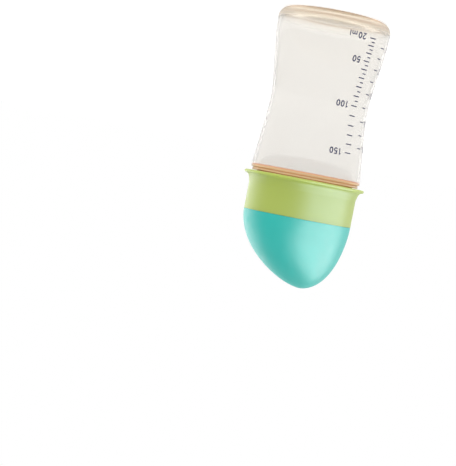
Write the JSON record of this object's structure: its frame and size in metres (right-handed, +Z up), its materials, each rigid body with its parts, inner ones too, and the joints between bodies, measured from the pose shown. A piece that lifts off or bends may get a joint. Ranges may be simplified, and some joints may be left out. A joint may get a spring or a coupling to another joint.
{
  "type": "baby bottle",
  "caption": "Wide-neck baby bottle with a waisted clear body, soft nipple, screw collar with a flared lip, and domed plug-on hood.",
  "frame": {"origin": "centre of the base, on the surface that the bottle stands on", "axes": "+Z up along the bottle's axis, from the base to the mouth; the printed scale is on the -Y side, towards -X; the hood leans to -X"},
  "size_m": [0.0644, 0.0644, 0.146],
  "materials": {
    "tinted_plastic": "clear gloss, faint amber tint",
    "silicone": "clear soft silicone",
    "lime_plastic": "satin, slightly translucent",
    "teal_plastic": "satin, slightly translucent"
  },
  "bodies": {
    "bottle": {"bottle_body": "tinted_plastic"},
    "nipple": {"nipple": "silicone"},
    "collar": {"collar": "lime_plastic"},
    "hood": {"hood": "teal_plastic"}
  },
  "joints": [
    {"name": "collar_rise", "type": "slide", "parent": "bottle", "child": "nipple", "axis": [0, 0, 1], "range_m": [0, 0.0081]},
    {"name": "collar_turn", "type": "hinge", "parent": "nipple", "child": "collar", "pos_m": [0, 0, 0.0987], "axis": [0, 0, 1], "range_deg": [0, 360]},
    {"name": "hood_pull", "type": "slide", "parent": "collar", "child": "hood", "axis": [0, 0, 1], "range_m": [0, 0.045]}
  ],
  "couplings": [
    {"joint": "collar_rise", "follows": "collar_turn", "m_per_rad": 0.0012732}
  ]
}
